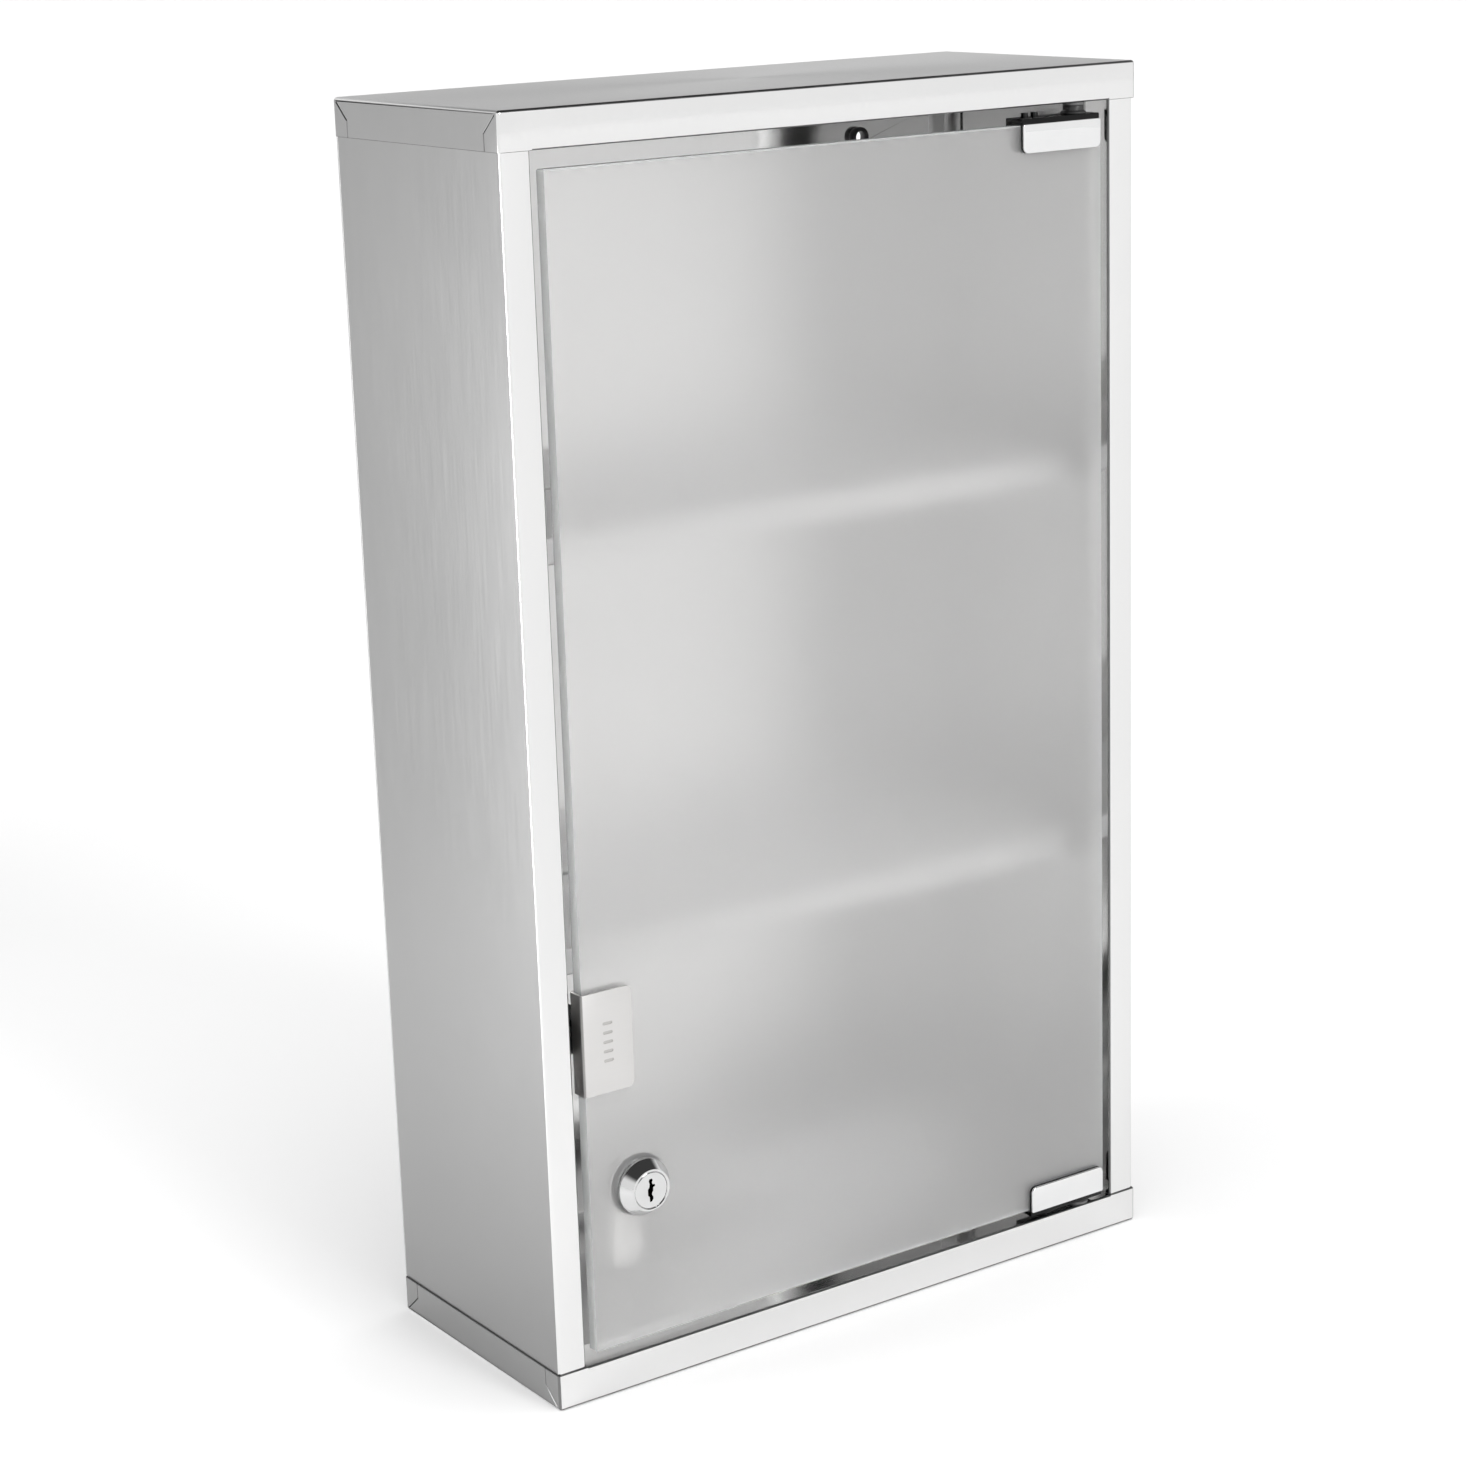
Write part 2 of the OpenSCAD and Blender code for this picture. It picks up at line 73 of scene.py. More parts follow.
MM = 0.001
SHEET = 0.8 * MM          # thickness of the folded sheet
BEND = 1.3 * MM           # outside radius of its bends
HAIR = 0.38 * MM          # broken edge on cut sheet
SHARP = math.radians(32)  # edges steeper than this stay sharp


# ---------------------------------------------------------------- meshes

def round_corners(points, radii, steps=6):
    """A closed outline whose corners are arcs. radii is one number, or one for each corner."""
    if not hasattr(radii, "__len__"):
        radii = [radii] * len(points)
    outline = []
    for i, radius in enumerate(radii):
        here = Vector(points[i])
        if radius <= 0:
            outline.append(here)
            continue
        to_last = (Vector(points[i - 1]) - here).normalized()
        to_next = (Vector(points[(i + 1) % len(points)]) - here).normalized()
        half = to_last.angle(to_next) / 2
        centre = here + (to_last + to_next).normalized() * radius / math.sin(half)
        first = here + to_last * radius / math.tan(half) - centre
        last = here + to_next * radius / math.tan(half) - centre
        start = math.atan2(first.y, first.x)
        sweep = (math.atan2(last.y, last.x) - start + math.pi) % (2 * math.pi) - math.pi
        for k in range(steps + 1):
            angle = start + sweep * k / steps
            outline.append(centre + radius * Vector((math.cos(angle), math.sin(angle))))
    return outline


def folded_outline(path, thickness=SHEET, bend=BEND):
    """Closed outline of a folded sheet that lies to the left of an open path along one face."""
    path = [Vector(p) for p in path]
    normals = []
    for a, b in zip(path, path[1:]):
        along = (b - a).normalized()
        normals.append(Vector((-along.y, along.x)))
    offset, near, far = [path[0] + normals[0] * thickness], [0], [0]
    for i in range(1, len(path) - 1):
        before, after = normals[i - 1], normals[i]
        mitre = (before + after).normalized()
        offset.append(path[i] + mitre * thickness / mitre.dot(after))
        left_turn = before.x * after.y - before.y * after.x > 0
        near.append(bend if left_turn else bend - thickness)
        far.append(bend - thickness if left_turn else bend)
    offset.append(path[-1] + normals[-1] * thickness)
    near.append(0)
    far.append(0)
    return round_corners(path + offset[::-1], near + far[::-1])


def new_object(name, bm):
    mesh = bpy.data.meshes.new(name)
    bmesh.ops.recalc_face_normals(bm, faces=bm.faces)
    bm.to_mesh(mesh)
    bm.free()
    obj = bpy.data.objects.new(name, mesh)
    bpy.context.scene.collection.objects.link(obj)
    return obj


PLANES = {
    "x": lambda u, v, w: (w, u, v),
    "y": lambda u, v, w: (u, w, v),
    "z": lambda u, v, w: (u, v, w),
}


def prism(name, outline, axis, low, high):
    """An outline in the plane across an axis, extruded from low to high along it."""
    place = PLANES[axis]
    bm = bmesh.new()
    near = [bm.verts.new(place(u, v, low)) for u, v in outline]
    far = [bm.verts.new(place(u, v, high)) for u, v in outline]
    bm.faces.new(near)
    bm.faces.new(far[::-1])
    for i in range(len(outline)):
        j = (i + 1) % len(outline)
        bm.faces.new((near[i], near[j], far[j], far[i]))
    return new_object(name, bm)


def block(name, low, high):
    """A block between two opposite corners, for cutting."""
    corners = [(low[0], low[1]), (high[0], low[1]), (high[0], high[1]), (low[0], high[1])]
    return prism(name, corners, "z", low[2], high[2])


def lathe(name, profile, centre, axis="y", steps=96):
    """A closed profile of (radius, place along the axis), turned about the axis through centre."""
    place = PLANES[axis]
    across = [i for i, key in enumerate("xyz") if key != axis]
    bm = bmesh.new()
    rings = []
    for radius, along in profile:
        ring = []
        for k in range(steps):
            angle = 2 * math.pi * k / steps
            u = centre[across[0]] + radius * math.cos(angle)
            v = centre[across[1]] + radius * math.sin(angle)
            ring.append(bm.verts.new(place(u, v, along)))
        rings.append(ring)
    for a, b in zip(rings, rings[1:] + rings[:1]):
        for k in range(steps):
            m = (k + 1) % steps
            bm.faces.new((a[k], a[m], b[m], b[k]))
    bmesh.ops.remove_doubles(bm, verts=bm.verts, dist=1e-7)
    return new_object(name, bm)


def tray(name, low, high, bend=BEND):
    """A folded tray, open downwards, with round bends along its top and upright edges."""
    bm = bmesh.new()
    bmesh.ops.create_cube(bm, size=1)
    for v in bm.verts:
        v.co = [low[i] if v.co[i] < 0 else high[i] for i in range(3)]
    bends = [e for e in bm.edges if max(v.co.z for v in e.verts) > low[2] + 1e-9]
    bmesh.ops.bevel(bm, geom=bends, offset=bend, segments=5, profile=0.5, affect="EDGES")
    below = [f for f in bm.faces if f.normal.z < -0.9]
    bmesh.ops.delete(bm, geom=below, context="FACES")
    obj = new_object(name, bm)
    shell = obj.modifiers.new("sheet", "SOLIDIFY")
    shell.thickness = SHEET
    shell.offset = -1
    shell.use_even_offset = True
    return apply(obj)


def apply(obj):
    """Applies an object's modifiers."""
    bpy.context.view_layer.update()
    done = obj.evaluated_get(bpy.context.evaluated_depsgraph_get())
    mesh = bpy.data.meshes.new_from_object(done)
    obj.modifiers.clear()
    obj.data = mesh
    return obj


def cut(obj, *cutters, operation="DIFFERENCE"):
    """Cuts an object with others, and removes them."""
    for cutter in cutters:
        step = obj.modifiers.new("cut", "BOOLEAN")
        step.operation = operation
        step.solver = "EXACT"
        step.object = cutter
        apply(obj)
        bpy.data.objects.remove(cutter)
    return obj


def soften(obj, width, segments=2, angle=60):
    """Rounds an object's sharp edges."""
    step = obj.modifiers.new("edges", "BEVEL")
    step.width = width
    step.segments = segments
    step.limit_method = "ANGLE"
    step.angle_limit = math.radians(angle)
    step.use_clamp_overlap = True
    return apply(obj)


def join(obj, *others):
    """Joins other objects into the first one."""
    bm = bmesh.new()
    bm.from_mesh(obj.data)
    for other in others:
        bm.from_mesh(other.data)
        bpy.data.objects.remove(other)
    bm.to_mesh(obj.data)
    bm.free()
    return obj


def smooth(obj):
    obj.data.polygons.foreach_set("use_smooth", [True] * len(obj.data.polygons))
    obj.data.set_sharp_from_angle(angle=SHARP)
    return obj


# ---------------------------------------------------------------- materials

class Shader:
    """A principled material with short ways to add and link nodes."""

    def __init__(self, name, **values):
        self.material = bpy.data.materials.new(name)
        self.material.use_nodes = True
        self.tree = self.material.node_tree
        self.surface = self.tree.nodes["Principled BSDF"]
        for key, value in values.items():
            self.surface.inputs[key.replace("_", " ")].default_value = value

    def add(self, kind, settings=None, **values):
        node = self.tree.nodes.new(kind)
        for key, value in (settings or {}).items():
            setattr(node, key, value)
        for key, value in values.items():
            node.inputs[key.replace("_", " ")].default_value = value
        return node

    def link(self, source, target):
        self.tree.links.new(source, target)

    def noise(self, scale, stretch=(1, 1, 1), detail=3.0, roughness=0.5):
        """Noise in the object's own space; stretch multiplies the scale along each axis."""
        where = self.add("ShaderNodeTexCoord")
        mapping = self.add("ShaderNodeMapping")
        mapping.inputs["Scale"].default_value = stretch
        self.link(where.outputs["Object"], mapping.inputs["Vector"])
        noise = self.add("ShaderNodeTexNoise", Scale=scale, Detail=detail, Roughness=roughness)
        self.link(mapping.outputs["Vector"], noise.inputs["Vector"])
        return noise.outputs["Fac"]

    def span(self, value, low, high, bottom=0.3, top=0.7):
        """Spreads a noise value over low to high."""
        node = self.add("ShaderNodeMapRange")
        for key, number in zip(("From Min", "From Max", "To Min", "To Max"),
                               (bottom, top, low, high)):
            node.inputs[key].default_value = number
        self.link(value, node.inputs["Value"])
        return node.outputs["Result"]

    def plus(self, a, b):
        node = self.add("ShaderNodeMath", {"operation": "ADD"})
        self.link(a, node.inputs[0])
        self.link(b, node.inputs[1])
        return node.outputs[0]

    def colours(self, value, first, second):
        node = self.add("ShaderNodeMix", {"data_type": "RGBA"})
        node.inputs["A"].default_value = (*first, 1)
        node.inputs["B"].default_value = (*second, 1)
        self.link(value, node.inputs["Factor"])
        self.link(node.outputs["Result"], self.surface.inputs["Base Color"])

    def rough(self, value):
        self.link(value, self.surface.inputs["Roughness"])

    def bump(self, value, strength, distance):
        node = self.add("ShaderNodeBump", Strength=strength, Distance=distance)
        self.link(value, node.inputs["Height"])
        self.link(node.outputs["Normal"], self.surface.inputs["Normal"])


def shade(level, warm=0.0):
    """A grey, made a little warmer or cooler."""
    return (level * (1 + warm), level, level * (1 - warm))


def polished_steel(name="polished_steel", level=0.79):
    """Mirror-polished sheet: long waves from the rolling, faint hairlines and finger haze."""
    m = Shader(name, Metallic=1.0)
    hairline = m.noise(900, (1, 1, 0.03), 2)
    haze = m.noise(14, detail=4)
    m.colours(haze, shade(level - 0.02), shade(level + 0.02, 0.004))
    m.rough(m.plus(m.span(hairline, 0.05, 0.09), m.span(haze, 0.0, 0.05)))
    m.bump(m.noise(5, (1, 1, 0.5), 1), 0.05, 0.6 * MM)
    return m.material


def satin_steel(name="satin_steel", level=0.49, rough=0.34, metallic=1.0):
    """Satin sheet with a fine upright grain and slow changes of tone."""
    m = Shader(name, Metallic=metallic, Anisotropic=0.25)
    grain = m.noise(1500, (1, 1, 0.02), 3, 0.6)
    cloud = m.noise(7, detail=3)
    m.colours(m.plus(m.span(grain, 0, 0.5), m.span(cloud, 0, 0.5)),
              shade(level * 0.97), shade(level * 1.03, 0.003))
    m.rough(m.plus(m.span(grain, rough - 0.04, rough + 0.04), m.span(cloud, 0, 0.03)))
    m.bump(grain, 0.04, 0.05 * MM)
    return m.material


def frosted_glass():
    """Acid-etched glass: a fine even grain that scatters what is behind it."""
    m = Shader("frosted_glass", Transmission_Weight=0.84, IOR=1.5)
    grain = m.noise(2600, detail=2)
    m.colours(m.noise(30, detail=2), shade(0.94, 0.004), shade(0.955, 0.002))
    m.rough(m.span(grain, 0.31, 0.34))
    m.bump(grain, 0.02, 0.02 * MM)
    return m.material


def clear_edge():
    """Seamed and half polished edge of float glass."""
    m = Shader("clear_glass_edge", Transmission_Weight=0.6, IOR=1.5)
    grind = m.noise(700, (1, 1, 0.1), 2)
    m.colours(grind, (0.86, 0.885, 0.88), (0.91, 0.93, 0.925))
    m.rough(m.span(grind, 0.10, 0.14))
    return m.material


def chrome(name="bright_chrome", level=0.81):
    """Bright plating with barely visible polishing haze."""
    m = Shader(name, Metallic=1.0)
    haze = m.noise(120, detail=3)
    m.colours(haze, shade(level - 0.02, -0.004), shade(level + 0.02))
    m.rough(m.span(haze, 0.03, 0.08))
    m.bump(m.noise(45, detail=1), 0.03, 0.1 * MM)
    return m.material


def satin_nickel():
    """Warm satin nickel with a very fine brushed grain."""
    m = Shader("satin_nickel", Metallic=1.0)
    grain = m.noise(1400, (0.05, 1, 1), 3)
    m.colours(grain, shade(0.635, 0.012), shade(0.655, 0.014))
    m.rough(m.span(grain, 0.29, 0.33))
    m.bump(grain, 0.01, 0.01 * MM)
    return m.material


def plain_metal(name, level, rough, warm=0.0, metallic=1.0):
    """Plated or blackened small metal with a mottled tone."""
    m = Shader(name, Metallic=metallic)
    mottle = m.noise(260, detail=4)
    m.colours(mottle, shade(level * 0.88, warm), shade(level * 1.08, warm))
    m.rough(m.span(mottle, rough - 0.05, rough + 0.07))
    m.bump(m.noise(1200, detail=2), 0.08, 0.03 * MM)
    return m.material


def brass():
    m = Shader("wafer_brass", Metallic=1.0)
    mottle = m.noise(300, detail=3)
    m.colours(mottle, (0.66, 0.48, 0.20), (0.78, 0.60, 0.29))
    m.rough(m.span(mottle, 0.22, 0.34))
    return m.material


def moulded(name, level, rough):
    """Moulded plastic or rubber with a fine spark-eroded texture."""
    m = Shader(name)
    grain = m.noise(1800, detail=2)
    cloud = m.noise(60, detail=2)
    m.colours(cloud, shade(level * 0.85), shade(level * 1.2))
    m.rough(m.span(grain, rough - 0.06, rough + 0.06))
    m.bump(grain, 0.12, 0.04 * MM)
    return m.material


POLISHED = polished_steel()
SATIN = satin_steel()
# The same satin sheet in a darker tone for the outer sides: painted shade, where the sides face
# away from the light.
SIDES_SHADE = satin_steel("side_painted_shade", 0.31)
# Dark steel for the bends beside the front: painted shade, dark lines where those bends would
# mirror dark surroundings.
BEND_SHADE = plain_metal("bend_painted_shade", 0.2, 0.35)
# The same satin sheet much lighter, for the bends along the caps' outer edges: painted highlight,
# making up for the dim light overhead.
CAP_BEND_HIGHLIGHT = satin_steel("cap_bend_highlight", 0.78)
# A darker satin for the inner faces of the side walls: painted shade inside the cabinet.
LINING_SHADE = satin_steel("lining_painted_shade", 0.42, 0.16)
# Polished steel brighter than the polished front, for the inside of the back: painted light inside
# the cabinet.
INSIDE_LIGHT = polished_steel("inside_painted_light", 0.87)
# Pale, mostly non-metallic satin for the shelves: their own satin sheet, made brighter as painted
# light so the lips read lit behind the glass.
SHELF_LIGHT = satin_steel("shelf_steel_painted_light", 0.90, 0.45, 0.25)
# Dark steel for cut edges and slit walls: partly the darker sheared edge, partly painted shade for
# the shadow line under the rail and the shade inside the slits.
CUT_EDGE_SHADE = plain_metal("cut_edge_and_shade", 0.16, 0.5)
FROSTED = frosted_glass()
EDGE = clear_edge()
CHROME = chrome()
LOCK_CHROME = chrome("lock_chrome", 0.66)
NICKEL = satin_nickel()
# Darker nickel for the push plate's side and bends: painted shade.
NICKEL_SIDE_SHADE = plain_metal("nickel_painted_shade", 0.30, 0.4, 0.02)
# Duller nickel in the pressed bars: partly a pressed finish, partly painted shade in the recesses.
PRESSED_SHADE = plain_metal("pressed_nickel_and_shade", 0.50, 0.45, 0.02)
ZINC = plain_metal("zinc_plate", 0.60, 0.33)
CAM_STEEL = plain_metal("cam_steel", 0.86, 0.36, 0.01, 0.5)
BLACK_METAL = plain_metal("black_nickel", 0.02, 0.17)
SPRING_STEEL = plain_metal("spring_steel", 0.5, 0.25)
FERRITE = plain_metal("ferrite", 0.16, 0.45, metallic=0.3)
BRASS = brass()
BLACK_PLASTIC = moulded("black_plastic", 0.018, 0.42)
GREY_NYLON = moulded("grey_nylon", 0.11, 0.45)
RUBBER = moulded("black_rubber", 0.022, 0.62)


# ---------------------------------------------------------------- pieces

def paint(obj, *materials, where=None):
    """Gives an object its materials; where(polygon) picks the index for each face."""
    obj.data.materials.clear()
    for material in materials:
        obj.data.materials.append(material)
    for polygon in obj.data.polygons:
        polygon.material_index = where(polygon) if where else 0
    return obj


def piece(obj, body, slot, *nodes):
    """Rides a finished piece on its body, in the place of CAD nodes."""
    smooth(obj)
    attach(obj, body)
    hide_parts(*nodes)
    return obj


def carry(node, material, edge=0.0):
    """Keeps a CAD node, with broken edges and a material."""
    obj = frame["nodes"][node]
    obj.data.materials.clear()
    obj.data.materials.append(material)
    obj.data.polygons.foreach_set("material_index", [0] * len(obj.data.polygons))
    obj.data.polygons.foreach_set("use_smooth", [True] * len(obj.data.polygons))
    weld = obj.modifiers.new("weld", "WELD")
    weld.merge_threshold = 0.001 * MM
    if edge:
        step = obj.modifiers.new("edges", "BEVEL")
        step.width = edge
        step.segments = 2
        step.limit_method = "ANGLE"
        step.angle_limit = math.radians(40)
        step.harden_normals = True
    else:
        obj.modifiers.new("normals", "WEIGHTED_NORMAL")
    return obj


# Driving dimensions, read from the frame
cap_low, cap_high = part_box("top_cap")
glass_low, glass_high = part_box("glass_door")
wall_low, wall_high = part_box("right_side_panel")
HALF_W = cap_high.x
HALF_H = cap_high.z
FRONT = cap_low.y
RAIL_Z = cap_low.z
PIVOT = Vector(next(j["pos_m"] for j in frame["joints"] if j["name"] == "door_swing"))
LOCK = Vector(next(j["pos_m"] for j in frame["joints"] if j["name"] == "lock_turn"))
STILE_X = wall_low.x

# Sizes that the nodes' boxes don't give
STILE_FOLD = 14 * MM           # depth of the fold behind a stile
LIP_DEPTH = 18 * MM            # depth of the lip behind a rail
LIP_X = STILE_X - 0.3 * MM     # half its length
PIN_HOLE = 3.2 * MM            # radius of the hole in the lip for the bush
EAR = 10 * MM                  # how far a cap's ear reaches along the side
EAR_RISE = 6.5 * MM            # height at which its slit turns to the corner
SLIT = 0.4 * MM                # width of that slit
GLASS_HOLE = 9.8 * MM          # radius of the lock's hole in the glass
BARREL = 9.4 * MM              # radius of the lock's barrel
PLUG_BORE = 7.56 * MM          # radius of the hole for its plug
PLUG = 7.5 * MM                # radius of the plug
KEYWAY_DEPTH = 9 * MM
KEYWAY_REACH = 5.4 * MM        # faces this near to the lock's middle can be inside the keyway
LATCH_BORE = 4.05 * MM         # radius of the hole for the latch's plunger
CLIP_SHEET = 1.0 * MM          # thickness of the push plate
BAR_LENGTH = 4.4 * MM          # the pressed bars on it
BAR_HALF = 0.6 * MM            # half their height
BAR_PITCH = 3.8 * MM
BAR_DEPTH = 0.2 * MM


def ear_slit(side, back):
    """Cutter for the gap between an ear and the side flange of the top cap."""
    knee = RAIL_Z + EAR_RISE
    path = [(EAR, RAIL_Z - MM), (EAR, knee), (2 * MM, HALF_H - 1.6 * MM),
            (2 * MM + SLIT, HALF_H - 1.6 * MM + SLIT / 2), (EAR + SLIT, knee + SLIT / 2),
            (EAR + SLIT, RAIL_Z - MM)]
    outline = [(-d if back else FRONT + d, z) for d, z in path]
    x = side * HALF_W
    return prism("slit", outline, "x", x - 3 * SHEET, x + 3 * SHEET)


def cap(name, node, upside_down):
    """Folded cap: a tray with slit ears and a lip behind its front flange."""
    body = tray(name, cap_low, cap_high)
    cut(body, *[ear_slit(side, back) for side in (-1, 1) for back in (False, True)])
    soften(body, HAIR, 1)
    fold = BEND + 0.4 * MM
    cut(body, block("gap", (-LIP_X, FRONT - MM, RAIL_Z - MM),
                    (LIP_X, FRONT + 2 * SHEET, RAIL_Z + fold)))
    lip = folded_outline([(FRONT, RAIL_Z + fold), (FRONT, RAIL_Z), (FRONT + LIP_DEPTH, RAIL_Z)])
    strip = prism("lip", lip, "x", -LIP_X, LIP_X)
    hole = lathe("hole", [(0, RAIL_Z - MM), (PIN_HOLE, RAIL_Z - MM),
                          (PIN_HOLE, RAIL_Z + 3 * MM), (0, RAIL_Z + 3 * MM)], PIVOT, "z")
    join(body, cut(strip, hole))
    if upside_down:
        for v in body.data.vertices:
            v.co.z = -v.co.z
        body.data.flip_normals()

    def sheet_face(p):
        """Index of a face's material in the list below, by where the face is. Front bends get
        painted shade, the caps' outer bends a painted highlight, the side flanges a darker tone
        that is painted shade, the free edge a dark tone that is partly the sheared edge and partly
        a painted shadow line, and the slit walls painted shade.
        """
        x, y, z = abs(p.center.x), p.center.y, abs(p.center.z)
        if y < FRONT + BEND and p.normal.y < -0.25:
            # Front bends get painted shade, except the top cap's left corner, which keeps the
            # polished front.
            unshaded_cap_corner = p.center.x < -HALF_W + BEND and not upside_down
            return 1 if p.normal.y < -0.9 or unshaded_cap_corner else 4
        if y < FRONT + LIP_DEPTH + MM and x < LIP_X and z < RAIL_Z + SHEET + HAIR:
            return 1
        # The caps' outer bends get a painted highlight.
        if z > HALF_H - BEND and 0.2 < abs(p.normal.z) < 0.97:
            return 5
        # The rail's free edge is darkened, partly for the sheared edge and partly as a painted
        # shadow line; the slit walls get painted shade.
        free_edge = z < RAIL_Z + 0.7 * SHEET and x > LIP_X
        small = p.area < 40 * MM * MM
        slit_wall_shade = small and z < HALF_H - BEND and x > HALF_W - SHEET and abs(p.normal.x) < 0.5
        if free_edge or slit_wall_shade:
            return 2
        # The cap's side flanges take the side panels' darker tone: painted shade.
        return 3 if x > HALF_W - SHEET else 0

    paint(body, SATIN, POLISHED, CUT_EDGE_SHADE, SIDES_SHADE, BEND_SHADE, CAP_BEND_HIGHLIGHT, where=sheet_face)
    return piece(body, "cabinet", "stainless_sheet", node)


def side_panel(name, node, side):
    """Side wall, stile and the fold behind the stile, bent from one sheet."""
    face, outer = FRONT + SHEET, wall_high.x
    path = [(STILE_X, face + STILE_FOLD), (STILE_X, face), (outer, face), (outer, wall_high.y)]
    outline = [(side * x, y) for x, y in folded_outline(path)]
    body = prism(name, outline, "z", wall_low.z, wall_high.z)

    def sheet_face(p):
        """Index of a face's material: 0 outside, a darker tone that is painted shade; 1 the stile
        and its fold; 2 inside, a darker tone that is painted shade; 3 bends, dark steel that is
        painted shade.
        """
        out = abs(p.center.x)
        # The inner faces of the side walls get painted shade.
        if out > STILE_X + BEND + 0.1 * MM and p.normal.x * side < -0.7:
            return 2
        if p.center.y < face + BEND and p.normal.y < -0.25:
            # Front bends get painted shade, except the left panel's outer corner, which keeps the
            # polished front.
            unshaded_left_corner = side < 0 and out > STILE_X + BEND
            return 1 if p.normal.y < -0.9 or unshaded_left_corner else 3
        return 1 if out < STILE_X + BEND else 0

    paint(body, SIDES_SHADE, POLISHED, LINING_SHADE, BEND_SHADE, where=sheet_face)
    return piece(body, "cabinet", "stainless_sheet", node)


def back_panel():
    """Back wall: its CAD shape, polished and brighter on the inside, where the extra brightness is
    painted light.
    """
    obj = carry("back_panel", SATIN)
    obj.data.materials.append(INSIDE_LIGHT)
    for polygon in obj.data.polygons:
        polygon.material_index = 1 if polygon.normal.y < -0.7 else 0
    return obj


def shelf(node):
    """Folded shelf with a hem inside its front edge."""
    low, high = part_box(node)
    body = tray(node + "_sheet", low, high)
    edge = low.y
    hem = folded_outline([(edge, low.z + 2 * MM), (edge, low.z), (edge + 7 * MM, low.z)])
    inset = BEND + 0.3 * MM
    soften(body, HAIR, 1)
    cut(body, block("gap", (low.x + inset, edge - MM, low.z - MM),
                    (high.x - inset, edge + 2 * SHEET, low.z + 2 * MM)))
    join(body, prism("hem", hem, "x", low.x + inset, high.x - inset))
    # The shelf's brightness is partly painted light.
    paint(body, SHELF_LIGHT)
    return piece(body, "cabinet", "shelf_sheet", node)


def glass_door():
    """Frosted pane with polished, chamfered edges and a hole for the lock."""
    pane = block("glass_pane", glass_low, glass_high)
    hole = [(0, glass_low.y - MM), (GLASS_HOLE, glass_low.y - MM),
            (GLASS_HOLE, glass_high.y + MM), (0, glass_high.y + MM)]
    cut(pane, lathe("hole", hole, LOCK, steps=64))
    soften(pane, 0.5 * MM, 1)
    paint(pane, FROSTED, EDGE, where=lambda p: 0 if abs(p.normal.y) > 0.95 else 1)
    return piece(pane, "door", "frosted_glass", "glass_door")


def clamp_outline(low, high, up, corner=2.5 * MM, small=0.8 * MM):
    """Front view of a clamp: large corners away from the rail and small ones next to it."""
    x0, x1 = low.x, high.x
    points = [(x0, low.z), (x1, low.z), (x1, high.z), (x0, high.z)]
    radii = [corner, corner, small, small] if up else [small, small, corner, corner]
    return round_corners(points, radii, 8)


def hinge(side_name, up):
    """Clamp body round the glass edge, with its bright cover and rubber."""
    low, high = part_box(side_name + "_hinge_clamp")
    body = prism(side_name + "_clamp_body", clamp_outline(low, high, up, small=0.4 * MM),
                 "y", low.y, high.y)
    g_low, g_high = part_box(side_name + "_hinge_gasket")
    inner_top = g_high.z if up else high.z + MM
    inner_low = low.z - MM if up else g_low.z
    cut(body, block("mouth", (low.x - MM, g_low.y, inner_low), (high.x + MM, g_high.y, inner_top)))
    soften(body, 0.25 * MM)
    paint(body, BLACK_METAL)
    piece(body, "door", "dark_zinc", side_name + "_hinge_clamp")
    low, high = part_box(side_name + "_hinge_cover")
    cover = prism(side_name + "_cover_plate", clamp_outline(low, high, up), "y", low.y, high.y)
    soften(cover, 0.35 * MM, 3)
    paint(cover, CHROME)
    piece(cover, "door", "bright_chrome", side_name + "_hinge_cover")
    carry(side_name + "_hinge_gasket", RUBBER)
    carry(side_name + "_pivot_pin", ZINC, 0.3 * MM)
    carry(side_name + "_pivot_spacer", BLACK_PLASTIC, 0.2 * MM)
    carry(side_name + "_pivot_bush", GREY_NYLON, 0.2 * MM)


def push_plate():
    """Sheet clip round the free edge of the glass, with five pressed bars as its mark."""
    low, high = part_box("push_plate")
    corner = 2.5 * MM
    path = [(high.x, high.y), (low.x, high.y), (low.x, low.y), (high.x, low.y)]
    section = folded_outline(path, CLIP_SHEET)
    clip = prism("push_clip", section, "z", low.z, high.z)
    points = [(low.x - MM, low.z), (high.x, low.z), (high.x, high.z), (low.x - MM, high.z)]
    outline = round_corners(points, [0, corner, corner, 0], 8)
    cut(clip, prism("outline", outline, "y", low.y - MM, high.y + MM), operation="INTERSECT")
    soften(clip, 0.22 * MM)
    middle = (low.z + high.z) / 2
    left = (low.x + high.x) / 2 - 2.2 * MM
    bars = []
    for i in range(-2, 3):
        z = middle + BAR_PITCH * i
        bar = [(left, z - BAR_HALF), (left + BAR_LENGTH, z - BAR_HALF),
               (left + BAR_LENGTH, z + BAR_HALF), (left, z + BAR_HALF)]
        bar = round_corners(bar, 0.55 * MM, 4)
        bars.append(prism("bar", bar, "y", low.y - MM, low.y + BAR_DEPTH))
    cut(clip, *bars)

    def finish_of(p):
        """Index of a face's material: 0 front and back, 1 the side with its bends, darker as
        painted shade, 2 the bars, darker partly as a pressed finish and partly as painted shade.
        """
        if p.normal.x < -0.5 and p.center.x < low.x + BEND:
            return 1
        across, up, deep = p.center.x - left, p.center.z - middle, p.center.y - low.y
        # The pressed bars' floors and walls are darkened: partly the pressed finish, partly
        # painted shade.
        in_bar = 0.03 * MM < deep < 0.3 * MM and 0 <= across <= BAR_LENGTH and abs(up) < 9 * MM
        return 2 if in_bar else 0

    paint(clip, NICKEL, NICKEL_SIDE_SHADE, PRESSED_SHADE, where=finish_of)
    return piece(clip, "door", "satin_nickel", "push_plate")


